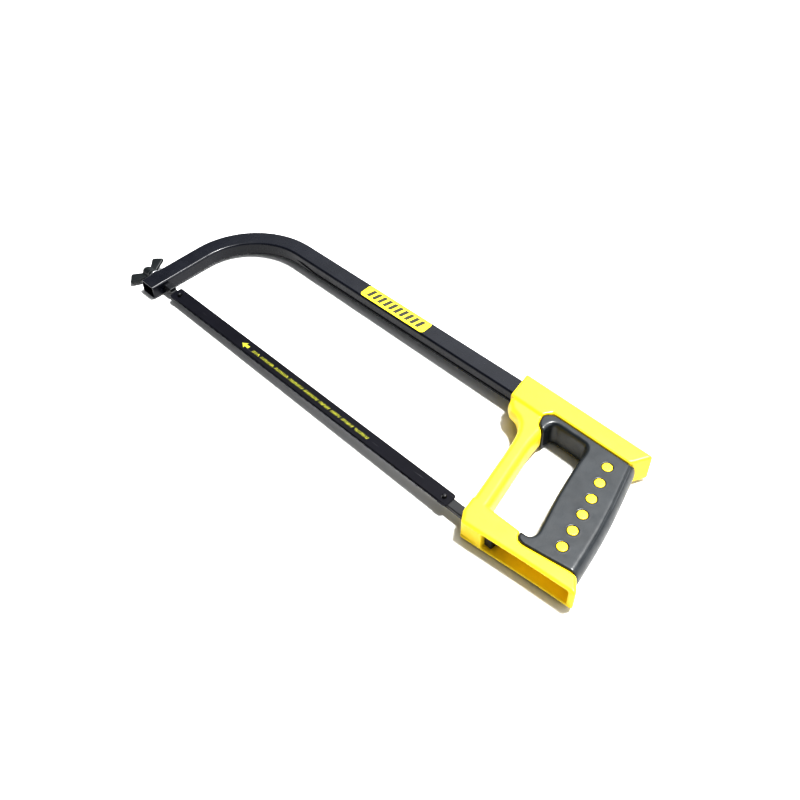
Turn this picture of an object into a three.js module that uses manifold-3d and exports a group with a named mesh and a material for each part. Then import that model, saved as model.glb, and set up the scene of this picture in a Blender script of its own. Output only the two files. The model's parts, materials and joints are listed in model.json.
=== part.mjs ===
// Hacksaw with a rectangular tube frame, a closed D handle with a rubber grip, and a tensioned 300 mm blade.
//
// Axes while it is built: X along the blade from the front pin to the rear pin, Y from the blade to the back of
// the frame, Z across the thickness of the saw, which lies on its side. The front hole of the blade is at x = 0,
// the middle of the blade is at y = 0, and the middle plane of frame and handle is z = 0. At the end the whole
// group is moved so that the origin is under the middle of its bounding box. All sizes are in millimetres.

import * as THREE from 'three';
import { mergeVertices } from 'three/addons/utils/BufferGeometryUtils.js';
import Module from 'manifold-3d';

const wasm = await Module();
wasm.setup();

// ---------------------------------------------------------------- driving dimensions

const GAP = 0.3; // between pieces that are pressed or moulded together
const RUNNING_GAP = 0.08; // radial, between the nut and its stud
const PRESS_GAP = 0.02; // radial, round a pin in its hole, and under the blade

const BLADE = {
  holeSpacing: 300,
  end: 6.5, // from the middle of a hole to the end of the blade
  width: 12.7,
  thickness: 0.65,
  hole: 4.2,
  cornerRadius: 3,
  toothPitch: 1.41, // 18 teeth to the inch
  toothDepth: 0.9,
};

const PIN = { diameter: 3, above: 2.2 }; // above: how far a pin stands over the blade

const TUBE = { width: 16, thickness: 12, wall: 1.2, cornerRadius: 1.8 };

const FRAME = {
  throat: 98.9, // from the middle of the blade to the inner face of the back, over the front pin
  pinToLeg: 18.1, // from the front hole to the inner face of the front leg
  belowBlade: 13.6, // how far the leg reaches past the middle of the blade
  bendRadius: 70, // outer face
  tilt: THREE.MathUtils.degToRad(1), // the back opens away from the blade
};

const FLUTE = { width: 4.4, depth: 0.5, from: 33, point: 22 };

const LABEL = { length: 70, width: 13.6, thickness: 0.25, from: 111, corner: 3, glue: 0.05 };

const CARRIER = {
  square: 6,
  seatLength: 6, // past the middle of the blade's front hole
  seatRelief: 2.5, // in front of the blade's end
  play: 0.15,
  studDiameter: 6,
  studProud: 1.5, // out of the end of the wing nut
};

const NUT = {
  flange: 11,
  flangeLength: 2.6,
  hub: 9,
  length: 12,
  wingReach: 18.5,
  wingWidth: 11,
  wingThickness: 3,
  sweep: 8.5, // how far forward the tip of a wing lies from its root
  turned: THREE.MathUtils.degToRad(9),
};

const WASHER = { outer: 12.5, thickness: 1.2 };

const HOLDER = { height: 8, thickness: 4, nose: 6.8, tail: 52 };

const ANCHOR = { length: 6.4, half: 7 }; // square block upset on the tail of the holder

const HANDLE = {
  entry: -24, // where the tube enters, from the rear pin
  socket: 45, // length of tube held in the handle
  sideWall: 6.5, // beside the tube
  backWall: 2.7, // over the tube
  blockLength: 112.5,
  bodyHalf: 10.3, // half thickness of the finger guard and of the lower limb
  gripHalf: 11.6, // half thickness over the rubber
  coreHalf: 9.2, // half thickness of the plastic under the rubber
};

const CHANNEL = { from: 43, to: 111.5, depth: 11, half: 7.4 };

const DOT = { count: 6, diameter: 7.6, top: [70.4, -12.1], bottom: [88.5, 17.4], bow: 1.3 };

const SCREW = { diameter: 3.2, head: 6.4, headHeight: 2.2, length: 14, holeDepth: 1.6 };

// ---------------------------------------------------------------- derived places

const rearPin = BLADE.holeSpacing;
const barInner = (x) => FRAME.throat + x * Math.tan(FRAME.tilt);
const legInner = -FRAME.pinToLeg;
const legOuter = legInner - TUBE.width;
const topOfOpening = barInner(rearPin + HANDLE.entry); // reference height for the top of the handle
const blockHalf = TUBE.thickness / 2 + HANDLE.sideWall;
const bladeTop = BLADE.thickness / 2;
const seatTop = -bladeTop - PRESS_GAP;
const holePlay = (BLADE.hole - PIN.diameter) / 2 - 0.05; // the pins pull outwards in the holes
const anchorFrom = rearPin + CHANNEL.from + GAP;
const washerFace = legOuter - GAP / 2;
const nutFace = washerFace - WASHER.thickness - 0.1;
const nutEnd = nutFace - NUT.length;
const deep = 40; // longer than any thickness

// ---------------------------------------------------------------- geometry helpers

function toSolid(geometry) {
  const bare = geometry.clone();
  bare.deleteAttribute('normal');
  bare.deleteAttribute('uv');
  const merged = mergeVertices(bare, 1e-4);
  return new wasm.Manifold(
    new wasm.Mesh({
      numProp: 3,
      vertProperties: Float32Array.from(merged.attributes.position.array),
      triVerts: Uint32Array.from(merged.index.array),
    }),
  );
}

function toGeometry(solid) {
  const mesh = solid.getMesh();
  const geometry = new THREE.BufferGeometry();
  geometry.setAttribute('position', new THREE.BufferAttribute(mesh.vertProperties, 3));
  geometry.setIndex(new THREE.BufferAttribute(mesh.triVerts, 1));
  geometry.computeVertexNormals();
  return geometry;
}

const join = (solids) => solids.reduce((sum, solid) => sum.add(solid));
const cut = (solid, tools) => tools.reduce((rest, tool) => rest.subtract(tool), solid);

// A closed outline from [x, y, corner radius] points; a long radius makes a soft bow.
function outline(points) {
  const shape = new THREE.Shape();
  points.forEach(([x, y, radius = 0], i) => {
    const corner = new THREE.Vector2(x, y);
    const before = new THREE.Vector2(...points[(i + points.length - 1) % points.length]).sub(corner);
    const after = new THREE.Vector2(...points[(i + 1) % points.length]).sub(corner);
    const limit = 0.49 * Math.min(before.length(), after.length());
    const reach = Math.min(radius, limit);
    const start = before.setLength(reach).add(corner);
    const end = after.setLength(reach).add(corner);
    if (i === 0) shape.moveTo(start.x, start.y);
    else shape.lineTo(start.x, start.y);
    if (reach > 0) shape.quadraticCurveTo(corner.x, corner.y, end.x, end.y);
  });
  shape.closePath();
  return shape;
}

// The same points moved outwards by a distance; the points run anticlockwise.
function grown(points, distance) {
  return points.map(([x, y, radius = 0], i) => {
    const here = new THREE.Vector2(x, y);
    const before = new THREE.Vector2(...points[(i + points.length - 1) % points.length]);
    const after = new THREE.Vector2(...points[(i + 1) % points.length]);
    const incoming = here.clone().sub(before).normalize();
    const outgoing = after.sub(here).normalize();
    const normal = new THREE.Vector2(incoming.y + outgoing.y, -incoming.x - outgoing.x).normalize();
    const spread = distance / Math.max(0.4, normal.x * incoming.y - normal.y * incoming.x);
    return [x + normal.x * spread, y + normal.y * spread, radius];
  });
}

// An outline made solid between two heights, with its edges rounded by inset (in plan) and depth (in Z).
function slab(shape, low, high, { inset = 0, depth = 0, segments = 3, curve = 6 } = {}) {
  const geometry = new THREE.ExtrudeGeometry(shape, {
    depth: high - low - 2 * depth,
    bevelEnabled: inset > 0,
    bevelSize: inset,
    bevelOffset: -inset,
    bevelThickness: depth,
    bevelSegments: segments,
    curveSegments: curve,
  });
  geometry.translate(0, 0, low + (inset > 0 ? depth : 0));
  return geometry;
}

function block(x, y, z) {
  const geometry = new THREE.BoxGeometry(x[1] - x[0], y[1] - y[0], z[1] - z[0]);
  geometry.translate((x[0] + x[1]) / 2, (y[0] + y[1]) / 2, (z[0] + z[1]) / 2);
  return geometry;
}

// A cylinder with softened ends along X, Y or Z, from one place on that axis to another.
function rod(axis, radius, from, to, { chamfer = 0.3, sides = 24 } = {}) {
  const profile = [
    new THREE.Vector2(0, from),
    new THREE.Vector2(radius - chamfer, from),
    new THREE.Vector2(radius, from + chamfer),
    new THREE.Vector2(radius, to - chamfer),
    new THREE.Vector2(radius - chamfer, to),
    new THREE.Vector2(0, to),
  ];
  const geometry = new THREE.LatheGeometry(profile, sides);
  if (axis === 'x') geometry.rotateZ(-Math.PI / 2);
  if (axis === 'z') geometry.rotateX(Math.PI / 2);
  return geometry;
}

function drill(axis, radius, from, to, sides = 24) {
  return toSolid(rod(axis, radius, from, to, { chamfer: 1e-3, sides }));
}

function rectangle(width, height, radius) {
  const x = width / 2;
  const y = height / 2;
  return [
    [-x, -y, radius],
    [x, -y, radius],
    [x, y, radius],
    [-x, y, radius],
  ];
}

// ---------------------------------------------------------------- materials

const paint = { color: 0x2b2d30, roughness: 0.42, metalness: 0.35 };
const blackSteel = { color: 0x26282b, roughness: 0.5, metalness: 0.6 };
const yellowPlastic = { color: 0xf5e53a, roughness: 0.38, metalness: 0 };
const rubberCompound = { color: 0x5b6268, roughness: 0.72, metalness: 0 };
const foil = { color: 0xf6dc2c, roughness: 0.3, metalness: 0 };
const zinc = { color: 0xa9adb0, roughness: 0.35, metalness: 0.9 };

const saw = new THREE.Group();

function add(name, solid, look) {
  const geometry = solid instanceof THREE.BufferGeometry ? solid : toGeometry(solid);
  const mesh = new THREE.Mesh(geometry, new THREE.MeshStandardMaterial(look));
  mesh.name = name;
  saw.add(mesh);
  return mesh;
}

// ---------------------------------------------------------------- frame tube

// Middle line of the tube: up the front leg, round the bend, along the back into the handle.
class FrameLine extends THREE.Curve {
  constructor(bendSteps) {
    super();
    const radius = FRAME.bendRadius - TUBE.width / 2;
    const middle = TUBE.width / 2;
    const leg = legInner - middle;
    const centreX = leg + radius;
    const backX = centreX - radius * Math.sin(FRAME.tilt);
    const backY = barInner(backX) + middle / Math.cos(FRAME.tilt);
    const centreY = backY - radius * Math.cos(FRAME.tilt);
    const endX = rearPin + HANDLE.entry + HANDLE.socket;
    this.stations = [new THREE.Vector3(leg, -FRAME.belowBlade, 0)];
    for (let i = 0; i <= bendSteps; i += 1) {
      const angle = Math.PI - ((Math.PI / 2 - FRAME.tilt) * i) / bendSteps;
      const x = centreX + radius * Math.cos(angle);
      const y = centreY + radius * Math.sin(angle);
      this.stations.push(new THREE.Vector3(x, y, 0));
    }
    this.stations.push(new THREE.Vector3(endX, barInner(endX) + middle / Math.cos(FRAME.tilt), 0));
  }

  getPoint(t, target = new THREE.Vector3()) {
    const place = t * (this.stations.length - 1);
    const i = Math.min(Math.floor(place), this.stations.length - 2);
    return target.lerpVectors(this.stations[i], this.stations[i + 1], place - i);
  }

  getPointAt(u, target) {
    return this.getPoint(u, target);
  }

  // At a station the direction is the mean of its two neighbours, so the corners of the bend are mitred.
  getTangentAt(u, target = new THREE.Vector3()) {
    const last = this.stations.length - 1;
    const i = Math.round(u * last);
    const before = this.stations[Math.max(i - 1, 0)];
    const here = this.stations[i];
    const after = this.stations[Math.min(i + 1, last)];
    const incoming = here.clone().sub(before).normalize();
    const outgoing = after.clone().sub(here).normalize();
    return target.addVectors(incoming, outgoing).normalize();
  }
}

function frameSweep(section, bendSteps = 16) {
  const line = new FrameLine(bendSteps);
  const steps = line.stations.length - 1;
  return new THREE.ExtrudeGeometry(section, { extrudePath: line, steps, curveSegments: 3 });
}

function flute() {
  const half = FLUTE.width / 2;
  const to = rearPin + HANDLE.entry + HANDLE.socket / 2;
  const shape = outline([
    [FLUTE.from, 0],
    [FLUTE.from + FLUTE.point, -half],
    [to, -half],
    [to, half],
    [FLUTE.from + FLUTE.point, half],
  ]);
  const geometry = slab(shape, 0, FLUTE.depth + 1);
  geometry.rotateX(-Math.PI / 2); // outline into X and Z, depth along Y
  geometry.translate(0, -1, 0);
  geometry.rotateZ(FRAME.tilt);
  geometry.translate(0, FRAME.throat, 0);
  return toSolid(geometry);
}

function frameTube() {
  const { width, thickness, wall, cornerRadius } = TUBE;
  const section = outline(rectangle(thickness, width, cornerRadius));
  section.holes.push(outline(rectangle(thickness - 2 * wall, width - 2 * wall, cornerRadius - wall / 2)));
  const window = CARRIER.square / 2 + CARRIER.play;
  const carrierHoles = toSolid(block([legOuter - 5, legInner + 5], [-window, window], [-window, window]));
  const [screwX, screwY] = screwPlace();
  const screwHole = drill('z', SCREW.diameter / 2 + GAP, -TUBE.thickness, 0).translate([screwX, screwY, 0]);
  return cut(toSolid(frameSweep(section)), [carrierHoles, flute(), screwHole]);
}

function screwPlace() {
  const x = rearPin + HANDLE.entry + HANDLE.socket * 0.6;
  return [x, barInner(x) + TUBE.width / 2];
}

add('frame_tube', frameTube(), paint);

function frameLabel() {
  const shape = outline(rectangle(LABEL.length, LABEL.width, LABEL.corner));
  const geometry = slab(shape, 0, LABEL.thickness);
  const middle = LABEL.from + LABEL.length / 2;
  geometry.rotateZ(FRAME.tilt);
  geometry.translate(middle, barInner(middle) + TUBE.width / 2, TUBE.thickness / 2 + LABEL.glue);
  return geometry;
}

add('frame_label', frameLabel(), foil);

// ---------------------------------------------------------------- blade and what holds it

function sawBlade() {
  const { holeSpacing, end, width, hole, cornerRadius, toothPitch, toothDepth, thickness } = BLADE;
  const back = width / 2;
  const front = -end;
  const rear = holeSpacing + end;
  const firstTooth = front + cornerRadius + 4;
  const teeth = Math.floor((rear - cornerRadius - 4 - firstTooth) / toothPitch);
  const points = [
    [front, back, 1.5],
    [front, 1 - back, cornerRadius],
    [front + cornerRadius, -back],
  ];
  for (let i = 0; i < teeth; i += 1) {
    const x = firstTooth + i * toothPitch;
    points.push([x, -back], [x + 0.12, toothDepth - back]);
  }
  points.push([firstTooth + teeth * toothPitch, -back]);
  points.push([rear - cornerRadius, -back], [rear, 1 - back, cornerRadius], [rear, back, cornerRadius]);
  const shape = outline(points);
  for (const x of [0, holeSpacing]) {
    shape.holes.push(new THREE.Path().absarc(x, 0, hole / 2, 0, 2 * Math.PI, true));
  }
  return slab(shape, -thickness / 2, thickness / 2, { curve: 8 });
}

add('saw_blade', sawBlade(), blackSteel);

// Square bar through the leg, cut down to a seat under the blade, with a threaded stud at its outer end.
function frontCarrier() {
  const half = CARRIER.square / 2;
  const seatEnd = CARRIER.seatLength - holePlay;
  const bar = toSolid(
    slab(outline(rectangle(CARRIER.square, CARRIER.square, 0.8)), legOuter + 3, seatEnd).rotateY(Math.PI / 2),
  );
  const step = toSolid(block([-BLADE.end - CARRIER.seatRelief, seatEnd + 5], [-10, 10], [seatTop, 10]));
  const stud = toSolid(rod('x', CARRIER.studDiameter / 2 - 0.05, nutEnd - CARRIER.studProud, legOuter + 4));
  const pinHole = drill('z', PIN.diameter / 2 + PRESS_GAP, -deep, deep).translate([-holePlay, 0, 0]);
  return cut(bar.add(stud), [step, pinHole]);
}

add('front_carrier', frontCarrier(), blackSteel);

function bladePin(x, foot) {
  return rod('z', PIN.diameter / 2, foot, bladeTop + PIN.above, { chamfer: 0.5 }).translate(x, 0, 0);
}

add('front_blade_pin', bladePin(-holePlay, -CARRIER.square / 2), blackSteel);

function tensionWasher() {
  const shape = new THREE.Shape().absarc(0, 0, WASHER.outer / 2, 0, 2 * Math.PI);
  shape.holes.push(new THREE.Path().absarc(0, 0, CARRIER.studDiameter / 2 + 0.4, 0, 2 * Math.PI, true));
  const geometry = slab(shape, 0, WASHER.thickness, { inset: 0.2, depth: 0.2, segments: 1, curve: 16 });
  geometry.rotateY(-Math.PI / 2);
  geometry.translate(washerFace, 0, 0);
  return geometry;
}

add('tension_washer', tensionWasher(), zinc);

function wingNut() {
  const bore = CARRIER.studDiameter / 2 + RUNNING_GAP;
  const profile = [
    [bore, nutFace],
    [NUT.flange / 2, nutFace],
    [NUT.flange / 2, nutFace - NUT.flangeLength],
    [NUT.hub / 2, nutFace - NUT.flangeLength - 1.2],
    [NUT.hub / 2, nutEnd + 1.2],
    [NUT.hub / 2 - 1, nutEnd],
    [bore, nutEnd],
    [bore, nutFace],
  ].map(([radius, x]) => new THREE.Vector2(radius, -x));
  const hub = toSolid(new THREE.LatheGeometry(profile, 28).rotateZ(Math.PI / 2));
  const root = nutFace - NUT.flangeLength - 0.4;
  const wing = outline([
    [root, bore + 0.6],
    [root - NUT.sweep + 1.5, NUT.wingReach, 2.2],
    [root - NUT.sweep - NUT.wingWidth * 0.75 + 1.5, NUT.wingReach - NUT.wingWidth * 0.62, 2.2],
    [nutEnd + 1.5, bore + 0.6],
  ]);
  const half = NUT.wingThickness / 2;
  const blade = toSolid(slab(wing, -half, half, { inset: 0.7, depth: 0.7, segments: 2 }));
  const nut = join([hub, blade, blade.mirror([0, 1, 0])]);
  return nut.rotate([THREE.MathUtils.radToDeg(NUT.turned), 0, 0]);
}

add('wing_nut', wingNut(), paint);

// Flat bar under the rear end of the blade, which runs through the front of the handle into its channel.
function rearHolder() {
  const { height, thickness, nose, tail } = HOLDER;
  const shape = outline([
    [rearPin - nose, -height / 2, 3],
    [rearPin + tail, -height / 2, 0.8],
    [rearPin + tail, height / 2, 0.8],
    [rearPin - nose, height / 2, 3],
  ]);
  const bar = toSolid(slab(shape, seatTop - thickness, seatTop, { inset: 0.4, depth: 0.4, segments: 1 }));
  const pinHole = drill('z', PIN.diameter / 2 + PRESS_GAP, -deep, deep);
  return cut(bar, [pinHole.translate([rearPin + holePlay, 0, 0])]);
}

add('rear_holder', rearHolder(), blackSteel);
add('rear_blade_pin', bladePin(rearPin + holePlay, seatTop - HOLDER.thickness), blackSteel);

// Square block on the tail of the holder; it bears on the front end of the channel.
function holderAnchorBlock() {
  const { length, half } = ANCHOR;
  const room = HOLDER.height / 2 + PRESS_GAP;
  const body = slab(outline(rectangle(2 * half, 2 * half, 1)), anchorFrom, anchorFrom + length);
  const underside = seatTop - HOLDER.thickness;
  const tailRoom = block(
    [rearPin, anchorFrom + length + 1],
    [-room, room],
    [underside - PRESS_GAP, seatTop + PRESS_GAP],
  );
  return cut(toSolid(body.rotateY(Math.PI / 2)), [toSolid(tailRoom)]);
}

add('holder_anchor_block', holderAnchorBlock(), blackSteel);

// ---------------------------------------------------------------- handle

// Points of the handle are given from the rear pin. up() measures from the inner face of the frame's back.
const up = (distance) => topOfOpening + distance;
const place = (points) => points.map(([x, y, radius]) => [rearPin + x, y, radius]);

const backOfHandle = TUBE.width + HANDLE.backWall;
const blockEnd = HANDLE.entry + HANDLE.blockLength;

// Upper block round the tube, with a slanted front and a horn behind the grip.
const blockPoints = place([
  [HANDLE.entry + 1.7, up(-6.3)],
  [9, up(-6.3)],
  [12, up(0.9)],
  [blockEnd - 9, up(0.9)],
  [blockEnd - 6.5, up(4.2)],
  [blockEnd + 0.2, up(backOfHandle - 1)],
  [HANDLE.entry - 2.9, up(backOfHandle)],
]);

// Web under the tube entry, running down into the finger guard in front of the opening.
const guardPoints = place([
  [HANDLE.entry + 1.4, up(-3.5)],
  [HANDLE.entry + 4, up(-11.2)],
  [HANDLE.entry + 9.5, up(-15.9)],
  [-7, up(-17.7), 3],
  [-1, up(-22.2), 4],
  [3.2, up(-29.5), 8],
  [5.8, up(-38), 12],
  [21.4, -3.6],
  [34.5, -3.6],
  [32, 12.9],
  [17.6, up(-30), 8],
  [15.9, up(-10), 6],
  [15.9, up(-3.5)],
]);

// The web is set back from here downwards, under its upper face, in front.
const reliefPoints = place([
  [HANDLE.entry - 6, up(-2.2)],
  [HANDLE.entry - 6, up(-40)],
  [-1, up(-40)],
  [-1, up(-21.5)],
  [-5.5, up(-15)],
  [-14, up(-9)],
  [-21, up(-4.2)],
]);
const RELIEF_TOP = -1;

// Lower limb under the opening.
const limbPoints = place([
  [18.4, 9.4],
  [21, -4],
  [26.5, -12.6],
  [43, -11.2, 20],
  [74, -8, 20],
  [116.6, -4.6],
  [115, -0.8],
  [108.4, 7.6],
  [104, 9.4],
]);

// Outer form of the rubber: a bar under the block, the grip, and a hook at the foot of the opening.
const gripPoints = place([
  [3, up(-22)],
  [17.4, up(-22)],
  [17.4, up(-5.6), 5],
  [49.2, up(-5.6), 6],
  [57, 57, 40],
  [69.6, 14, 8],
  [67.5, 9.2, 6],
  [60.5, 9.2],
  [60.5, -6],
  [110.6, -6],
  [110.2, 6, 20],
  [100.4, 56, 60],
  [85.9, up(0)],
  [82.9, up(9)],
  [3, up(9)],
]);

// Outline whose fully rounded edge shapes the back of the grip; its other sides lie clear of the rubber.
const backPoints = place([
  [-20, -20],
  [113, -20],
  [110.2, 6, 20],
  [100.4, 56, 60],
  [85.9, up(0)],
  [80, up(17)],
  [-20, up(17)],
]);

// Where the rubber shows: everything inside this line is rubber, everything outside it is plastic.
const rubberEdge = place([
  [18.6, up(-17.4)],
  [40, up(-17.4)],
  [40, 20],
  [60.6, 20],
  [60.6, 8, 1],
  [62.5, 3.2, 3],
  [67, 1.1, 6],
  [88, 4.3],
  [105, 7],
  [125, 9],
  [125, up(4.4)],
  [82.5, up(4.4)],
  [81, up(0.9)],
  [12.5, up(0.9), 5],
  [7.4, up(-5.5), 3],
  [10.6, up(-13.8), 4],
]);

// Plastic core under the rubber.
const corePoints = place([
  [63.5, 7],
  [63.5, -3],
  [103.5, -3],
  [106.1, 7],
  [96.5, 58, 60],
  [81.7, up(0)],
  [79.5, up(6)],
  [12, up(6)],
  [12, up(-2.9)],
  [50, up(-2.9), 5],
  [59.6, 57, 40],
  [72.4, 14],
  [72.4, 7],
]);

function handleCore(extra) {
  const half = HANDLE.coreHalf + extra;
  return toSolid(slab(outline(grown(corePoints, extra)), -half, half, { inset: 3, depth: 3 }));
}

function dotCentres() {
  const [topX, topY] = [rearPin + DOT.top[0], up(DOT.top[1])];
  const [bottomX, bottomY] = [rearPin + DOT.bottom[0], DOT.bottom[1]];
  return Array.from({ length: DOT.count }, (_, i) => {
    const t = i / (DOT.count - 1);
    const bow = DOT.bow * 4 * t * (1 - t);
    return [topX + (bottomX - topX) * t + bow, topY + (bottomY - topY) * t];
  });
}

function dotPosts(extra) {
  const half = HANDLE.gripHalf + (extra > 0 ? 5 : 0.1);
  const post = toSolid(rod('z', DOT.diameter / 2 + extra, -half, half, { sides: 24 }));
  return join(dotCentres().map(([x, y]) => post.translate([x, y, 0])));
}

// Pocket for the tube, then a narrower hollow behind it up to the rear wall of the block.
function tubeSocket() {
  const width = TUBE.width / 2 + GAP;
  const half = TUBE.thickness / 2 + GAP;
  const from = rearPin + HANDLE.entry - 20;
  const to = rearPin + HANDLE.entry + HANDLE.socket + GAP;
  const rear = rearPin + blockEnd - 14;
  const pocket = block([from, to], [-width, width], [-half, half]);
  const hollow = block([to - 1, rear], [-width + 2.5, width - 2.5], [-half + 1, half - 1]);
  const axis = (geometry) => {
    geometry.translate(-to, 0, 0);
    geometry.rotateZ(FRAME.tilt);
    geometry.translate(to, barInner(to) + TUBE.width / 2, 0);
    return toSolid(geometry);
  };
  return axis(pocket).add(axis(hollow));
}

// The lower limb is open underneath; the holder's slot runs through its closed front.
function limbHollow() {
  const { from, to, depth, half } = CHANNEL;
  const channel = outline(
    place([
      [from, -30],
      [to + 1.5, -30],
      [to - 1, depth - 7, 2],
      [from, depth - 7, 2],
    ]),
  );
  const slot = HOLDER.height / 2 + GAP;
  const pocket = ANCHOR.half + GAP;
  return join([
    toSolid(slab(channel, -half, half)),
    toSolid(block([rearPin + from, anchorFrom + ANCHOR.length + GAP], [-pocket, pocket], [-half, half])),
    toSolid(
      block(
        [rearPin, rearPin + HOLDER.tail + 2],
        [-slot, slot],
        [seatTop - HOLDER.thickness - GAP, seatTop + GAP],
      ),
    ),
  ]);
}

function handleBody() {
  const { bodyHalf } = HANDLE;
  const blockEdge = { inset: 1.6, depth: 1.6, segments: 2 };
  const upper = toSolid(slab(outline(blockPoints), -blockHalf, blockHalf, blockEdge));
  const guardShape = outline(guardPoints);
  const guardForm = toSolid(slab(guardShape, -bodyHalf, bodyHalf, { inset: 4, depth: 6, segments: 4 }));
  const guard = guardForm.subtract(toSolid(slab(outline(reliefPoints), -deep, RELIEF_TOP)));
  const limb = toSolid(slab(outline(limbPoints), -bodyHalf, bodyHalf, { inset: 2.6, depth: 2.6 }));
  const rubberRoom = toSolid(slab(outline(grown(rubberEdge, GAP)), -deep, deep));
  const [screwX, screwY] = screwPlace();
  const screwHole = drill('z', SCREW.diameter / 2 + GAP, -deep, 0).translate([screwX, screwY, 0]);
  const headSeat = SCREW.holeDepth + SCREW.headHeight + PRESS_GAP - blockHalf;
  const headHole = drill('z', SCREW.head / 2 + GAP, -deep, headSeat);
  const shell = cut(join([upper, guard, limb]), [rubberRoom]);
  return cut(join([shell, handleCore(0), dotPosts(0)]), [
    tubeSocket(),
    limbHollow(),
    screwHole,
    headHole.translate([screwX, screwY, 0]),
  ]);
}

add('handle_body', handleBody(), yellowPlastic);

function gripRubber() {
  const half = HANDLE.gripHalf;
  const form = toSolid(slab(outline(gripPoints), -half, half, { inset: 2.8, depth: 4, segments: 4 }));
  const rounded = toSolid(slab(outline(backPoints), -half, half, { inset: 6, depth: half - 0.2, segments: 6 }));
  const room = toSolid(slab(outline(rubberEdge), -deep, deep));
  return cut(form.intersect(rounded).intersect(room), [handleCore(GAP), dotPosts(GAP)]);
}

add('grip_rubber', gripRubber(), rubberCompound);

// Screw from the lower side through the block into the tube.
function handleScrew() {
  const [x, y] = screwPlace();
  const headTop = SCREW.holeDepth - blockHalf;
  const head = toSolid(rod('z', SCREW.head / 2, headTop, headTop + SCREW.headHeight, { chamfer: 0.6 }));
  const shank = toSolid(rod('z', SCREW.diameter / 2, headTop + 1, headTop + SCREW.length - 3));
  const arm = [-SCREW.head * 0.3, SCREW.head * 0.3];
  const crossCut = [
    toSolid(block(arm, [-0.45, 0.45], [headTop - 1, headTop + 1.1])),
    toSolid(block([-0.45, 0.45], arm, [headTop - 1, headTop + 1.1])),
  ];
  return cut(head.add(shank), crossCut).translate([x, y, 0]);
}

add('handle_screw', handleScrew(), zinc);

// ---------------------------------------------------------------- origin under the middle of the saw

const bounds = new THREE.Box3().setFromObject(saw);
const centre = bounds.getCenter(new THREE.Vector3());
saw.position.set(-centre.x, -centre.y, -bounds.min.z);

export default saw;
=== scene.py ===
import json
import math
import random

import bmesh
import bpy
import numpy as np
import openvdb as vdb
from mathutils import Matrix, Vector


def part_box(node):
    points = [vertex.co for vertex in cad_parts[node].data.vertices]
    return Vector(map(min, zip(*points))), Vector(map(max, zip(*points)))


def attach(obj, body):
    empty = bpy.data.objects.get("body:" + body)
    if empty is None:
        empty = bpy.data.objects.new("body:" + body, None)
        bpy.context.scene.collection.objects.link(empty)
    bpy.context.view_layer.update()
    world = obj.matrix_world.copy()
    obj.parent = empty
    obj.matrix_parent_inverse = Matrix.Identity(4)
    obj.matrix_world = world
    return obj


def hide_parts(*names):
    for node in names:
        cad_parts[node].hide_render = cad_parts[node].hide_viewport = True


# Looks of a hacksaw with a rectangular tube frame and a closed handle with a rubber grip.
#
# Shapes are written in millimetres from the blade's front hole: X along the blade to the handle, Y to the back
# of the frame, Z across the saw's thickness, 0 in its middle plane. place() turns them into metres.

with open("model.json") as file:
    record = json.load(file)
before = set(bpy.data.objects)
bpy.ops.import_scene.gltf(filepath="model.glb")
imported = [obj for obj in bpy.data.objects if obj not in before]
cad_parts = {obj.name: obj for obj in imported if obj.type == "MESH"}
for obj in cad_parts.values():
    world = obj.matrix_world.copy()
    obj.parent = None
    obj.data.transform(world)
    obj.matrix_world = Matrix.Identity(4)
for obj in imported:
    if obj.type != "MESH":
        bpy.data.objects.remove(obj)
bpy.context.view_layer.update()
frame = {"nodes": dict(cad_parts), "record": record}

MM = 0.001
BLADE_END = 6.5  # from the front hole to the end of the blade
REAR_PIN = 300.0

blade_low, blade_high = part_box("saw_blade")
middle = (blade_low + blade_high) / 2
ORIGIN = Vector((blade_low.x + BLADE_END * MM, middle.y, middle.z))


def place(point):
    return ORIGIN + Vector(point) * MM


def in_mm(point):
    return (Vector(point) - ORIGIN) / MM


# ---------------------------------------------------------------- materials


def new_material(name):
    made = bpy.data.materials.new(name)
    made.use_nodes = True
    made.node_tree.nodes.clear()
    return made


def noise(tree, where, scale, detail=4.0, stretch=(1, 1, 1)):
    """Noise over the object's own coordinates, in cycles per metre, drawn out along an axis by stretch."""
    mapping = tree.nodes.new("ShaderNodeMapping")
    mapping.inputs["Scale"].default_value = stretch
    tree.links.new(where, mapping.inputs["Vector"])
    node = tree.nodes.new("ShaderNodeTexNoise")
    node.inputs["Scale"].default_value = scale
    node.inputs["Detail"].default_value = detail
    tree.links.new(mapping.outputs["Vector"], node.inputs["Vector"])
    return node.outputs["Fac"]


def ramp(tree, value, low, high, out_low, out_high):
    node = tree.nodes.new("ShaderNodeMapRange")
    node.inputs["From Min"].default_value = low
    node.inputs["From Max"].default_value = high
    node.inputs["To Min"].default_value = out_low
    node.inputs["To Max"].default_value = out_high
    tree.links.new(value, node.inputs["Value"])
    return node.outputs["Result"]


def mixed(tree, factor, first, second):
    node = tree.nodes.new("ShaderNodeMix")
    node.data_type = "RGBA"
    tree.links.new(factor, node.inputs["Factor"])
    for socket, colour in ((node.inputs[6], first), (node.inputs[7], second)):
        if isinstance(colour, tuple):
            socket.default_value = (*colour, 1)
        else:
            tree.links.new(colour, socket)
    return node.outputs[2]


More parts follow.
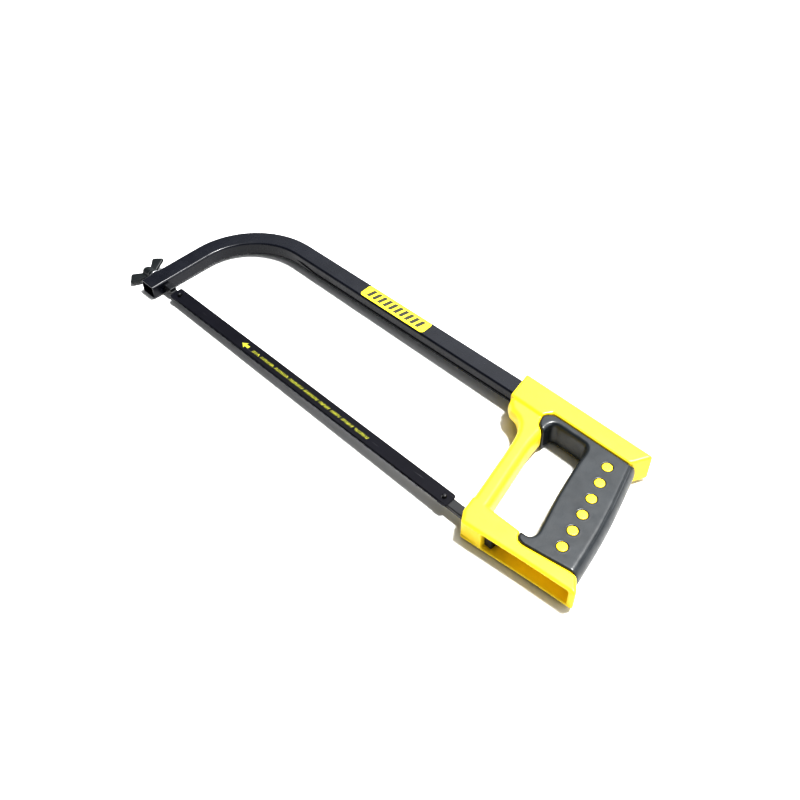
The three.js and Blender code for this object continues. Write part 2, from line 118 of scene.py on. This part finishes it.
def surface(
    name,
    colour,
    worn,
    rough,
    rough_range=0.1,
    metallic=0.0,
    specular=0.5,
    coat=0.0,
    patch_scale=45.0,
    grain_scale=1600.0,
    grain=0.04,
    grain_stretch=(1, 1, 1),
    ripple=0.0,
    specks=None,
):
    """A finish that drifts between two colours, with uneven gloss, fine grain and a long ripple under it."""
    made = new_material(name)
    tree = made.node_tree
    where = tree.nodes.new("ShaderNodeTexCoord").outputs["Object"]
    shader = tree.nodes.new("ShaderNodeBsdfPrincipled")
    out = tree.nodes.new("ShaderNodeOutputMaterial")
    tree.links.new(shader.outputs["BSDF"], out.inputs["Surface"])
    shader.inputs["Metallic"].default_value = metallic
    shader.inputs["Specular IOR Level"].default_value = specular
    shader.inputs["Coat Weight"].default_value = coat
    shader.inputs["Coat Roughness"].default_value = 0.12

    patches = noise(tree, where, patch_scale, 5.0)
    blotch = ramp(tree, patches, 0.35, 0.68, 0.0, 1.0)
    tint = mixed(tree, blotch, colour, worn)
    if specks:
        dots = noise(tree, where, specks["scale"], 2.0, specks.get("stretch", (1, 1, 1)))
        mask = ramp(tree, dots, specks["from"], specks["from"] + 0.05, 0.0, specks["amount"])
        tint = mixed(tree, mask, tint, specks["colour"])
    tree.links.new(tint, shader.inputs["Base Color"])

    gloss = noise(tree, where, patch_scale * 2.3, 3.0)
    tree.links.new(
        ramp(tree, gloss, 0.3, 0.7, rough - rough_range / 2, rough + rough_range / 2),
        shader.inputs["Roughness"],
    )

    fine = tree.nodes.new("ShaderNodeBump")
    fine.inputs["Strength"].default_value = 1.0
    fine.inputs["Distance"].default_value = grain * MM
    tree.links.new(noise(tree, where, grain_scale, 3.0, grain_stretch), fine.inputs["Height"])
    if ripple:
        wide = tree.nodes.new("ShaderNodeBump")
        wide.inputs["Strength"].default_value = 1.0
        wide.inputs["Distance"].default_value = ripple * MM
        tree.links.new(noise(tree, where, patch_scale * 1.4, 1.0), wide.inputs["Height"])
        tree.links.new(wide.outputs["Normal"], fine.inputs["Normal"])
    tree.links.new(fine.outputs["Normal"], shader.inputs["Normal"])
    return made


ALONG_X = (0.04, 1, 1)

looks = {
    "frame_paint": surface(
        "black_frame_paint", (0.003, 0.004, 0.008), (0.005, 0.006, 0.011), 0.27, 0.12,
        specular=0.34, coat=0.05, grain=0.02, grain_scale=2600, ripple=0.12,
        specks={"scale": 900, "from": 0.71, "amount": 0.25, "colour": (0.12, 0.12, 0.13)},
    ),
    "blade_paint": surface(
        "black_blade_enamel", (0.003, 0.003, 0.006), (0.005, 0.005, 0.009), 0.42, 0.14,
        specular=0.15, grain=0.012, grain_scale=2400, grain_stretch=ALONG_X,
        specks={
            "scale": 700, "from": 0.7, "amount": 0.35, "colour": (0.16, 0.16, 0.17), "stretch": ALONG_X,
        },
    ),
    "black_steel": surface(
        "blackened_steel", (0.010, 0.011, 0.013), (0.018, 0.018, 0.020), 0.34, 0.16,
        metallic=0.2, grain=0.03, grain_scale=1800,
        specks={"scale": 1100, "from": 0.69, "amount": 0.4, "colour": (0.2, 0.2, 0.2)},
    ),
    "zinc_steel": surface(
        "zinc_plated_steel", (0.5, 0.51, 0.53), (0.38, 0.39, 0.4), 0.3, 0.2,
        metallic=1.0, grain=0.02, grain_scale=2200,
    ),
    "nut_paint": surface(
        "black_cast_nut", (0.006, 0.008, 0.009), (0.010, 0.013, 0.014), 0.40, 0.16,
        specular=0.4, grain=0.09, grain_scale=1300,
        specks={"scale": 900, "from": 0.7, "amount": 0.3, "colour": (0.16, 0.17, 0.17)},
    ),
    "yellow_plastic": surface(
        "yellow_moulded_plastic", (0.93, 0.70, 0.030), (0.89, 0.67, 0.026), 0.36, 0.12,
        specular=0.5, grain=0.03, grain_scale=1500, ripple=0.16,
    ),
    "grip_rubber": surface(
        "grey_grip_rubber", (0.010, 0.013, 0.016), (0.017, 0.021, 0.025), 0.36, 0.12,
        specular=0.55, grain=0.06, grain_scale=1400, patch_scale=70, ripple=0.1,
    ),
    "label_foil": surface(
        "yellow_label_foil", (0.90, 0.78, 0.012), (0.86, 0.74, 0.011), 0.25, 0.08,
        specular=0.5, coat=0.3, grain=0.01, grain_scale=1200,
    ),
}

ink_black = surface("black_label_ink", (0.02, 0.02, 0.012), (0.03, 0.03, 0.015), 0.4, grain=0.008)
ink_yellow = surface(
    "yellow_blade_ink", (0.44, 0.44, 0.02), (0.34, 0.35, 0.02), 0.5, grain=0.01, patch_scale=260
)


# ---------------------------------------------------------------- making pieces


def mesh_from(name, points, faces):
    """A mesh from points in millimetres."""
    mesh = bpy.data.meshes.new(name)
    mesh.from_pydata([place(p) for p in points], [], faces)
    mesh.update()
    return mesh


def piece(name, mesh, body, material, stands_for=(), sharp_above=None):
    """Puts a mesh into the scene as a piece of the saw.

    Edges steeper than sharp_above, in degrees, stay crisp.
    """
    if sharp_above is not None:
        working = bmesh.new()
        working.from_mesh(mesh)
        bmesh.ops.recalc_face_normals(working, faces=working.faces)
        for edge in working.edges:
            paired = len(edge.link_faces) == 2
            edge.smooth = paired and edge.calc_face_angle(0) < math.radians(sharp_above)
        working.to_mesh(mesh)
        working.free()
    for polygon in mesh.polygons:
        polygon.use_smooth = True
    made = bpy.data.objects.new(name, mesh)
    bpy.context.scene.collection.objects.link(made)
    made.data.materials.clear()
    made.data.materials.append(material)
    if sharp_above is not None:
        weighted = made.modifiers.new("even_normals", "WEIGHTED_NORMAL")
        weighted.keep_sharp = True
    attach(made, body)
    if stands_for:
        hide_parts(*stands_for)
    return made


def body_of(node):
    groups = frame["record"]["behaviour"]["bodies"]
    return next(body for body, members in groups.items() if node in members)


def slot_of(node):
    return next(s["material_slot"] for s in frame["record"]["subparts"] if s["node"] == node)


class Form:
    """A CAD node as a signed distance on a grid of cells, to soften, carve and mesh again."""

    BAND = 8  # cells of true distance on each side of the surface
    SETTLING = 3  # times the new points are moved onto the surface

    def __init__(self, node, cell):
        mesh = frame["nodes"][node].data
        mesh.calc_loop_triangles()
        points = np.array([in_mm(v.co) for v in mesh.vertices], np.float32)
        triangles = np.array([t.vertices for t in mesh.loop_triangles], np.uint32)
        transform = vdb.createLinearTransform(cell)
        grid = vdb.FloatGrid.createLevelSetFromPolygons(
            points, triangles=triangles, transform=transform, halfWidth=self.BAND
        )
        low, high = grid.evalActiveVoxelBoundingBox()
        self.node = node
        self.cell = cell
        self.low = np.array(low)
        self.field = np.zeros(np.array(high) - self.low + 1, np.float32)
        grid.copyToArray(self.field, ijk=low)

    def axes(self):
        """X, Y and Z of the cells, in millimetres, shaped to spread over the grid."""
        steps = [(np.arange(n) + low) * self.cell for n, low in zip(self.field.shape, self.low)]
        return steps[0][:, None, None], steps[1][None, :, None], steps[2][None, None, :]

    def soften(self, radius):
        """Rounds edges and fillets corners by about this radius."""
        sigma = radius / self.cell
        reach = int(math.ceil(2.5 * sigma))
        kernel = np.exp(-0.5 * (np.arange(-reach, reach + 1) / sigma) ** 2)
        kernel /= kernel.sum()
        for axis in range(3):
            padding = [(reach, reach) if a == axis else (0, 0) for a in range(3)]
            padded = np.pad(self.field, padding, mode="edge")
            size = self.field.shape[axis]
            total = np.zeros_like(self.field)
            for i, weight in enumerate(kernel):
                total += weight * np.take(padded, range(i, i + size), axis=axis)
            self.field = total
        return self

    def carve(self, distance, blend=0.3):
        """Takes away the room where distance is below 0, with a small round at the edge."""
        keep = -np.broadcast_to(distance, self.field.shape)
        share = np.clip(0.5 + 0.5 * (self.field - keep) / blend, 0, 1)
        both = keep * (1 - share) + self.field * share
        self.field = (both + blend * share * (1 - share)).astype(np.float32)
        return self

    def sample(self, field, points):
        """Values of a field between its cells."""
        base = np.clip(np.floor(points).astype(int), 0, np.array(field.shape) - 2)
        along = points - base
        total = np.zeros(len(points))
        for corner in np.ndindex(2, 2, 2):
            weight = np.prod(np.where(corner, along, 1 - along), axis=1)
            total += weight * field[tuple((base + corner).T)]
        return total

    def mesh(self, share=1.0):
        """The surface as a mesh, thinned to a share of its faces where it is flat."""
        grid = vdb.FloatGrid(float(self.BAND * self.cell))
        grid.copyFromArray(self.field)
        points, quads = grid.convertToQuads(0.0)
        points = points.astype(float)
        slopes = np.gradient(self.field)
        for _ in range(self.SETTLING):
            gap = self.sample(self.field, points)
            slope = np.stack([self.sample(s, points) for s in slopes], axis=1)
            length = np.maximum((slope**2).sum(axis=1), 1e-6)
            points -= slope * np.clip(gap / length, -0.5, 0.5)[:, None]
        faces = [tuple(quad) for quad in quads[:, ::-1].tolist()]
        made = mesh_from(self.node, (points + self.low) * self.cell, faces)
        if share < 1:
            made = thinned(made, share)
        return made

    def piece(self, name, share=1.0, material=None):
        slot = slot_of(self.node)
        look = material or looks[slot]
        return piece(name, self.mesh(share), body_of(self.node), look, [self.node])


def with_modifiers(mesh, *settings):
    """The mesh after a row of modifiers, each given as its type and its values."""
    holder = bpy.data.objects.new("working", mesh)
    bpy.context.scene.collection.objects.link(holder)
    for kind, values in settings:
        modifier = holder.modifiers.new(kind.lower(), kind)
        for key, value in values.items():
            setattr(modifier, key, value)
    bpy.context.view_layer.update()
    evaluated = holder.evaluated_get(bpy.context.evaluated_depsgraph_get())
    made = bpy.data.meshes.new_from_object(evaluated)
    bpy.data.objects.remove(holder)
    return made


def thinned(mesh, share):
    return with_modifiers(mesh, ("DECIMATE", {"ratio": share}))


def box_distance(x, y, z, low, high):
    """Signed distance to a box."""
    parts = [np.maximum(low[i] - c, c - high[i]) for i, c in enumerate((x, y, z))]
    parts = np.broadcast_arrays(*parts)
    outside = np.sqrt(sum(np.maximum(p, 0) ** 2 for p in parts))
    return outside + np.minimum(np.maximum.reduce(parts), 0)


# ---------------------------------------------------------------- frame tube

TUBE_HALF_WIDTH = 8.0
TUBE_HALF_THICKNESS = 6.0
TUBE_CORNER = 1.8
TUBE_WALL = 1.2
BEND_RADIUS = 62.0  # middle line of the tube
BAR_TILT = math.radians(1)
BACK_OVER_PIN = 98.9  # inner face of the bar over the front hole
BEND_STEPS = 56
LEG_STEPS = (0.0, 0.5, 20.0, 40.0)  # heights over the open end of the leg
HOLLOW_STEPS = 3  # of these, how many the open end's inner wall follows up
BAR_STEPS = (36.5, 40, 44, 48, 52, 56, 60, 110, 180, 240, 275)
WINDOW_HALF = 3.1  # the square hole through the leg, for the carrier
FLUTE = {"from": 34.0, "full": 56.0, "half": 3.2, "depth": 0.8, "slope": 0.35}

tube_low, tube_high = (in_mm(corner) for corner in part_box("frame_tube"))


def tube_section(half_width, half_thickness, corner, flute_half, flute_depth, flute_slope):
    """Points round the tube; the first coordinate points out of the frame, the second along Z."""
    points = []
    for sign_u, sign_v, start in ((1, 1, 0), (-1, 1, 90), (-1, -1, 180), (1, -1, 270)):
        if (sign_u, sign_v) == (-1, -1):
            edge = -half_width
            points += [(edge, flute_half + flute_slope), (edge + flute_depth, flute_half)]
            points += [(edge + flute_depth, -flute_half), (edge, -flute_half - flute_slope)]
        centre = (sign_u * (half_width - corner), sign_v * (half_thickness - corner))
        for i in range(6):
            angle = math.radians(start + i * 18)
            points.append((centre[0] + corner * math.cos(angle), centre[1] + corner * math.sin(angle)))
    return points


def tube_stations():
    """Places along the middle line, each with its outward direction."""
    leg_x = tube_low.x + TUBE_HALF_WIDTH
    centre_x = leg_x + BEND_RADIUS
    bend_end_x = centre_x - BEND_RADIUS * math.sin(BAR_TILT)

    def bar_y(x):
        return BACK_OVER_PIN + x * math.tan(BAR_TILT) + TUBE_HALF_WIDTH / math.cos(BAR_TILT)

    centre_y = bar_y(bend_end_x) - BEND_RADIUS * math.cos(BAR_TILT)
    stations = [(leg_x, tube_low.y + step, -1.0, 0.0) for step in LEG_STEPS]
    for i in range(BEND_STEPS + 1):
        angle = math.pi - (math.pi / 2 - BAR_TILT) * i / BEND_STEPS
        out = (math.cos(angle), math.sin(angle))
        stations.append((centre_x + BEND_RADIUS * out[0], centre_y + BEND_RADIUS * out[1], *out))
    out = (-math.sin(BAR_TILT), math.cos(BAR_TILT))
    for x in (*BAR_STEPS, tube_high.x - 0.6):
        stations.append((x, bar_y(x), *out))
    return stations


def flute_at(x, y):
    """Half width, depth and slope of the flute in the bar, which starts in a point behind the bend."""
    on_leg = y < 60
    if on_leg or x < FLUTE["from"]:
        return 0.0, 0.0, 0.0
    share = min(1.0, (x - FLUTE["from"]) / (FLUTE["full"] - FLUTE["from"]))
    deepening = min(1.0, 3 * share)
    return FLUTE["half"] * share, FLUTE["depth"] * deepening, FLUTE["slope"] * deepening


def skin(rings, closed_ends=(True, True)):
    """Points and faces of a tube through rings with the same number of points."""
    count = len(rings[0])
    points = [p for ring in rings for p in ring]
    faces = []
    for r in range(len(rings) - 1):
        for i in range(count):
            j = (i + 1) % count
            faces.append((r * count + i, r * count + j, (r + 1) * count + j, (r + 1) * count + i))
    if closed_ends[0]:
        faces.append(tuple(range(count - 1, -1, -1)))
    if closed_ends[1]:
        last = (len(rings) - 1) * count
        faces.append(tuple(range(last, last + count)))
    return points, faces


def across(station, section):
    """A section of the tube, set across its middle line at a station."""
    x, y, out_x, out_y = station
    return [(x + u * out_x, y + u * out_y, v) for u, v in section]


def facing_out(mesh, merge=None):
    """Turns all faces outward, after merging points nearer than merge, in metres."""
    working = bmesh.new()
    working.from_mesh(mesh)
    if merge:
        bmesh.ops.remove_doubles(working, verts=working.verts, dist=merge)
    bmesh.ops.recalc_face_normals(working, faces=working.faces)
    working.to_mesh(mesh)
    working.free()
    return mesh


def window_mesh():
    """A square bar that passes through the leg and sticks out on both sides."""
    h = WINDOW_HALF
    square = ((-h, -h), (h, -h), (h, h), (-h, h))
    ends = (tube_low.x - 4, tube_low.x + 2 * TUBE_HALF_WIDTH + 4)
    return facing_out(mesh_from("window", *skin([[(x, y, z) for y, z in square] for x in ends])))


def make_tube():
    stations = tube_stations()
    rings = []
    for station in stations:
        flute = flute_at(*station[:2])
        section = tube_section(TUBE_HALF_WIDTH, TUBE_HALF_THICKNESS, TUBE_CORNER, *flute)
        rings.append(across(station, section))
    hollow = tube_section(
        TUBE_HALF_WIDTH - TUBE_WALL, TUBE_HALF_THICKNESS - TUBE_WALL, TUBE_CORNER - TUBE_WALL / 2, 0, 0, 0
    )
    inner_rings = [across(station, hollow) for station in stations[:HOLLOW_STEPS]]
    # The open lower end of the leg: the sheet's edge is turned round, and the inside is followed up for a while.
    pairs = zip(rings[0], inner_rings[0])
    lip = [(a + (b - a) * 0.15, y, c + (d - c) * 0.15) for (a, y, c), (b, _, d) in pairs]
    rounded = [(px, py + 0.25, pz) for px, py, pz in rings[0]]
    path = [*reversed(inner_rings), lip, rounded, *rings[1:]]
    mesh = facing_out(mesh_from("frame_tube", *skin(path)), merge=1e-7)
    cutter = bpy.data.objects.new("window", window_mesh())
    bpy.context.scene.collection.objects.link(cutter)
    settings = {"object": cutter, "operation": "DIFFERENCE", "solver": "EXACT"}
    cut = with_modifiers(mesh, ("BOOLEAN", settings))
    bpy.data.objects.remove(cutter)
    return cut


piece(
    "frame_tube_painted", make_tube(), "frame",
    looks["frame_paint"], ["frame_tube"], sharp_above=40,
)


# ---------------------------------------------------------------- label on the bar

LABEL = {"half_x": 35.0, "half_y": 6.8, "corner": 3.0, "edge": 0.08}
MARKS = {"count": 10, "width": 3.6, "pitch": 6.0, "height": 8.6, "lean": 2.0, "corner": 0.35}


def rounded_outline(half_x, half_y, corner, steps=8):
    points = []
    for sign_x, sign_y, start in ((1, 1, 0), (-1, 1, 90), (-1, -1, 180), (1, -1, 270)):
        for i in range(steps + 1):
            angle = math.radians(start + 90 * i / steps)
            x = sign_x * (half_x - corner) + corner * math.cos(angle)
            y = sign_y * (half_y - corner) + corner * math.sin(angle)
            points.append((x, y))
    return points


def on_bar(points, centre, z):
    """Flat points laid on the side of the bar round a centre, turned with the bar."""
    c, s = math.cos(BAR_TILT), math.sin(BAR_TILT)
    return [(centre.x + x * c - y * s, centre.y + x * s + y * c, z) for x, y in points]


def make_label():
    low, high = (in_mm(corner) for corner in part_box("frame_label"))
    centre = (low + high) / 2
    edge = LABEL["edge"]
    rings = []
    for inset, z in ((0.0, low.z), (0.0, high.z - edge), (edge, high.z)):
        outline = rounded_outline(LABEL["half_x"] - inset, LABEL["half_y"] - inset, LABEL["corner"] - inset)
        rings.append(on_bar(outline, centre, z))
    points, faces = skin(rings)
    piece(
        "frame_label_foil", mesh_from("label", points, faces), "frame",
        looks["label_foil"], ["frame_label"], sharp_above=30,
    )

    # A plain row of slanted bars is printed on it.
    points, faces = [], []
    for i in range(MARKS["count"]):
        middle_x = (i - (MARKS["count"] - 1) / 2) * MARKS["pitch"]
        outline = rounded_outline(MARKS["width"] / 2, MARKS["height"] / 2, MARKS["corner"], 3)
        slanted = [(middle_x + x + MARKS["lean"] * y / MARKS["height"], y) for x, y in outline]
        more, more_faces = skin([on_bar(slanted, centre, z) for z in (high.z - 0.05, high.z + 0.01)])
        faces += [tuple(len(points) + k for k in face) for face in more_faces]
        points += more
    piece("frame_label_bars", mesh_from("label_bars", points, faces), "frame", ink_black, sharp_above=30)


make_label()


# ---------------------------------------------------------------- blade

BLADE_HALF_WIDTH = 6.35
BLADE_TOP = 0.325
SET = {"from": -3.9, "amount": 0.3, "pitch": 7.2}  # the wavy set of the teeth


def make_blade():
    mesh = frame["nodes"]["saw_blade"].data.copy()
    working = bmesh.new()
    working.from_mesh(mesh)
    bmesh.ops.remove_doubles(working, verts=working.verts, dist=1e-6)
    for y in (SET["from"], SET["from"] - 0.8, SET["from"] - 1.5):
        bmesh.ops.bisect_plane(
            working, geom=working.verts[:] + working.edges[:] + working.faces[:],
            plane_co=place((0, y, 0)), plane_no=(0, 1, 0), dist=1e-7,
        )
    reach = BLADE_HALF_WIDTH + SET["from"]
    for vertex in working.verts:
        x, y, _ = in_mm(vertex.co)
        share = min(1.0, max(0.0, (SET["from"] - y) / reach))
        ends = min(1.0, max(0.0, (x + 2) / 8)) * min(1.0, max(0.0, (REAR_PIN + 2 - x) / 8))
        vertex.co.z += SET["amount"] * MM * share**1.5 * ends * math.sin(2 * math.pi * x / SET["pitch"])
    working.to_mesh(mesh)
    working.free()
    mesh.materials.clear()
    piece(
        "saw_blade_toothed", mesh, "blade",
        looks["blade_paint"], ["saw_blade"], sharp_above=25,
    )


make_blade()


PRINT_LAYERS = (BLADE_TOP - 0.02, BLADE_TOP + 0.015)
POINTER = {"tip": 81.0, "back": 85.4, "tail": 89.2, "middle": 0.3, "half": 3.1, "shaft": (-1.1, 1.7)}
TICKS = {"from": 94.5, "to": 224, "half_height": 1.25, "group_gap": 1.7}


def make_print():
    """On the blade's upper side, a pointer to its front and a row of plain slanted ticks behind it."""
    points, faces = [], []

    def patch(outline):
        more, more_faces = skin([[(x, y, z) for x, y in outline] for z in PRINT_LAYERS])
        faces.extend(tuple(len(points) + k for k in face) for face in more_faces)
        points.extend(more)

    back, tail, middle = POINTER["back"], POINTER["tail"], POINTER["middle"]
    shaft_low, shaft_high = POINTER["shaft"]
    barb = back + 0.2
    patch([
        (POINTER["tip"], middle),
        (barb, middle - POINTER["half"]),
        (back, shaft_low + 0.2),
        (tail, shaft_low),
        (tail, shaft_high),
        (back, shaft_high - 0.2),
        (barb, middle + POINTER["half"]),
    ])
    draw = random.Random(4)
    tall = TICKS["half_height"]
    x = TICKS["from"]
    group = 6
    while x < TICKS["to"]:
        width = draw.choice((0.35, 0.45, 0.6))
        lean = draw.choice((0.5, 0.5, -0.35))
        patch([(x - lean, -tall), (x - lean + width, -tall), (x + lean + width, tall), (x + lean, tall)])
        x += width + draw.choice((0.8, 0.95, 1.2))
        group -= 1
        if group == 0:
            x += TICKS["group_gap"]
            group = draw.choice((8, 11, 13))
    piece("blade_print", mesh_from("print", points, faces), "blade", ink_yellow, sharp_above=30)


make_print()


# ---------------------------------------------------------------- metal fittings

# Node, size of the cells, radius of its edges, name of the piece, share of the faces kept.
FITTINGS = (
    ("front_blade_pin", 0.15, 0.2, "front_pin_turned", 0.5),
    ("rear_blade_pin", 0.15, 0.2, "rear_pin_turned", 0.5),
    ("tension_washer", 0.2, 0.15, "tension_washer_pressed", 0.5),
    ("holder_anchor_block", 0.25, 0.3, "anchor_block_upset", 0.3),
    ("handle_screw", 0.25, 0.2, "handle_screw_turned", 0.4),
    ("rear_holder", 0.25, 0.3, "rear_holder_flat", 0.3),
    ("wing_nut", 0.25, 0.5, "wing_nut_cast", 0.6),
)
THREAD = {"pitch": 1.0, "half_depth": 0.22}

for node, cell, radius, name, share in FITTINGS:
    Form(node, cell).soften(radius).piece(name, share)


def make_carrier():
    """Square bar with a cut thread on its stud."""
    form = Form("front_carrier", 0.2).soften(0.22)
    x, y, z = form.axes()
    stud_end = tube_low.x - 0.2
    turn = np.arctan2(z, y) / (2 * math.pi)
    thread = THREAD["half_depth"] * (np.cos(2 * math.pi * (x / THREAD["pitch"] - turn)) + 1)
    form.field = (form.field + np.where(x < stud_end, thread, 0)).astype(np.float32)
    form.piece("front_carrier_forged", 0.5)


make_carrier()


# ---------------------------------------------------------------- handle

HANDLE_CELL = 0.5
LIMB_FRONT = ((324, -30, -7.0), (345, -11.2, 7.0))  # corners of the room between the limb's two rims
GRIP_HALF = 11.6
COLLAR = {"radius": 5.5, "above": 9.5}  # rubber close round the posts
DOT_RADIUS = 3.85
DOTS = {"count": 6, "first": (370.4, 91.62), "last": (388.5, 17.4), "bow": 1.3}


def dots_distance(x, y):
    """Distance in plan to the middle of the nearest of the round posts, which stand in a bowed row."""
    (first_x, first_y), (last_x, last_y) = DOTS["first"], DOTS["last"]
    away = []
    for i in range(DOTS["count"]):
        t = i / (DOTS["count"] - 1)
        centre_x = first_x + (last_x - first_x) * t + DOTS["bow"] * 4 * t * (1 - t)
        away.append(np.hypot(x - centre_x, y - first_y - (last_y - first_y) * t))
    return np.minimum.reduce(away)


# The faces of the grip end on this line, in a step down to its rounded rear.
REAR_LINE = ((381.6, 103.8), (386.9, 86), (392.9, 66.3), (398.4, 46.3), (402.9, 26.3), (407.2, 6), (409, -2))
REAR_STEP = 1.2
GROOVE = {"behind": 0.7, "height": 11.0, "radius": 1.2}  # at the foot of the step


def behind_line(x, y, line):
    """How far each cell lies before a line that runs down the saw: below 0 on its rear side."""
    ys = np.array([p[1] for p in reversed(line)])
    xs = np.array([p[0] for p in reversed(line)])
    return np.interp(y, ys, xs) - x


def make_handle_body():
    form = Form("handle_body", HANDLE_CELL)
    x, y, z = form.axes()
    form.soften(0.65)
    # The lower limb's closed front is set back a little between its two rims.
    form.carve(box_distance(x, y, z, *LIMB_FRONT) - 0.3, 0.6)
    # The flat round ends of the posts stand level with the rubber.
    posts = np.maximum(dots_distance(x, y) - DOT_RADIUS, np.abs(z) - GRIP_HALF)
    form.field = np.minimum(form.field, posts).astype(np.float32)
    form.piece("handle_moulding", 0.4)


def make_grip():
    form = Form("grip_rubber", HANDLE_CELL)
    x, y, z = form.axes()
    form.soften(0.7)
    # The rubber lies close round the posts.
    away = dots_distance(x, y)
    height = np.abs(z)
    collar = np.maximum(np.maximum(away - COLLAR["radius"], height - GRIP_HALF), COLLAR["above"] - height)
    form.field = np.minimum(form.field, collar).astype(np.float32)
    form.carve(away - DOT_RADIUS - 0.25, 0.3)
    beyond = behind_line(x, y, REAR_LINE)
    form.carve(np.maximum(beyond, GRIP_HALF - REAR_STEP - height), 0.3)
    groove = np.hypot(beyond + GROOVE["behind"], height - GROOVE["height"]) - GROOVE["radius"]
    form.carve(groove, 0.3)
    form.piece("grip_moulding", 0.45)


make_handle_body()
make_grip()


# ---------------------------------------------------------------- floor, light and camera

STANDS_ON = ((-35.25, 0.0, -6.25), (364.5, 2.3, -11.6), (279.0, 99.0, -12.5))  # washer, rubber, block
FLOOR = {"half": 12.0, "gap": 0.0002}  # in metres; the gap keeps it from touching the saw

# The room: each part is a direction, the nearness to it (as a cosine) where it begins and where it is full,
# and the brightness outside and inside.
ROOM = (
    ((0.35, 0.55, 0.76), (0.25, 0.92), (0.16, 0.8)),  # walls and ceiling, brighter behind the saw
    ((-0.22, 0.58, 0.78), (0.86, 0.95), (0.0, 2.2)),  # soft box over the back
    ((0.79, 0.30, 0.53), (0.93, 0.98), (0.0, 3.5)),  # narrow strip on the handle's side
)
HORIZON = {"full": 0.12, "ends": 0.3, "strength": 0.95}  # pale wall round the floor
KEY = {"towards": (0.15, 0.28, 1.0), "spread": 7, "strength": 5.4}
CAMERA = {"heading": 44.47, "elevation": 47.91, "roll": -0.36, "lens": 44.52, "at": (567.1, -321.5, 556.8)}


def make_floor():
    """A pale floor through the three places on which the saw comes to rest."""
    a, b, c = (place(p) for p in STANDS_ON)
    normal = (b - a).cross(c - a).normalized()
    if normal.z < 0:
        normal.negate()
    centre = (a + b + c) / 3 - normal * FLOOR["gap"]
    side = normal.cross(Vector((0, 1, 0))).normalized()
    up = normal.cross(side)
    size = FLOOR["half"]
    mesh = bpy.data.meshes.new("floor")
    signs = ((-1, -1), (1, -1), (1, 1), (-1, 1))
    corners = [centre + side * sx * size + up * sy * size for sx, sy in signs]
    mesh.from_pydata(corners, [], [(0, 1, 2, 3)])
    floor = bpy.data.objects.new("floor", mesh)
    bpy.context.scene.collection.objects.link(floor)
    pale, worn = (0.66, 0.66, 0.66), (0.64, 0.64, 0.64)
    look = surface("pale_floor", pale, worn, 0.6, specular=0.2, patch_scale=4, grain=0.01)
    floor.data.materials.append(look)


def make_light():
    """A soft key light from above, in a room that is bright behind the saw and darker on the near side."""
    world = bpy.data.worlds.new("studio")
    world.use_nodes = True
    tree = world.node_tree
    back = tree.nodes["Background"]
    direction = tree.nodes.new("ShaderNodeTexCoord").outputs["Generated"]
    height = tree.nodes.new("ShaderNodeSeparateXYZ")
    tree.links.new(direction, height.inputs["Vector"])
    light = ramp(tree, height.outputs["Z"], HORIZON["full"], HORIZON["ends"], HORIZON["strength"], 0.0)
    for towards, (begins, full), (outside, inside) in ROOM:
        nearness = tree.nodes.new("ShaderNodeVectorMath")
        nearness.operation = "DOT_PRODUCT"
        nearness.inputs[1].default_value = Vector(towards).normalized()
        tree.links.new(direction, nearness.inputs[0])
        brightest = tree.nodes.new("ShaderNodeMath")
        brightest.operation = "MAXIMUM"
        tree.links.new(light, brightest.inputs[0])
        part = ramp(tree, nearness.outputs["Value"], begins, full, outside, inside)
        tree.links.new(part, brightest.inputs[1])
        light = brightest.outputs["Value"]
    tree.links.new(light, back.inputs["Strength"])
    back.inputs["Color"].default_value = (0.97, 0.985, 1, 1)
    bpy.context.scene.world = world

    data = bpy.data.lights.new("key", "SUN")
    data.angle = math.radians(KEY["spread"])
    data.energy = KEY["strength"]
    data.color = (1, 0.99, 0.97)
    key = bpy.data.objects.new("key", data)
    bpy.context.scene.collection.objects.link(key)
    key.rotation_mode = "QUATERNION"
    key.rotation_quaternion = Vector(KEY["towards"]).normalized().to_track_quat("Z", "Y")


def make_camera():
    """Looks down on the saw from beside the handle's lower corner, along its length to the nut."""
    heading, elevation, roll = (math.radians(CAMERA[key]) for key in ("heading", "elevation", "roll"))
    back = Vector((
        math.sin(heading) * math.cos(elevation),
        -math.cos(heading) * math.cos(elevation),
        math.sin(elevation),
    ))
    right = Vector((math.cos(heading), math.sin(heading), 0))
    up = back.cross(right)
    turned_right = right * math.cos(roll) + up * math.sin(roll)
    turned_up = up * math.cos(roll) - right * math.sin(roll)
    data = bpy.data.cameras.new("camera")
    data.sensor_width = 36
    data.lens = CAMERA["lens"]
    data.clip_start = 0.01
    data.clip_end = 50
    camera = bpy.data.objects.new("camera", data)
    bpy.context.scene.collection.objects.link(camera)
    camera.matrix_world = Matrix((
        (turned_right.x, turned_up.x, back.x, 0),
        (turned_right.y, turned_up.y, back.y, 0),
        (turned_right.z, turned_up.z, back.z, 0),
        (0, 0, 0, 1),
    ))
    camera_x, camera_y, camera_z = CAMERA["at"]
    camera.location = place((camera_x, camera_y + BLADE_HALF_WIDTH, camera_z))
    bpy.context.scene.camera = camera


make_floor()
make_light()
make_camera()
bpy.context.scene.view_settings.view_transform = "Standard"
bpy.context.scene.view_settings.look = "High Contrast"
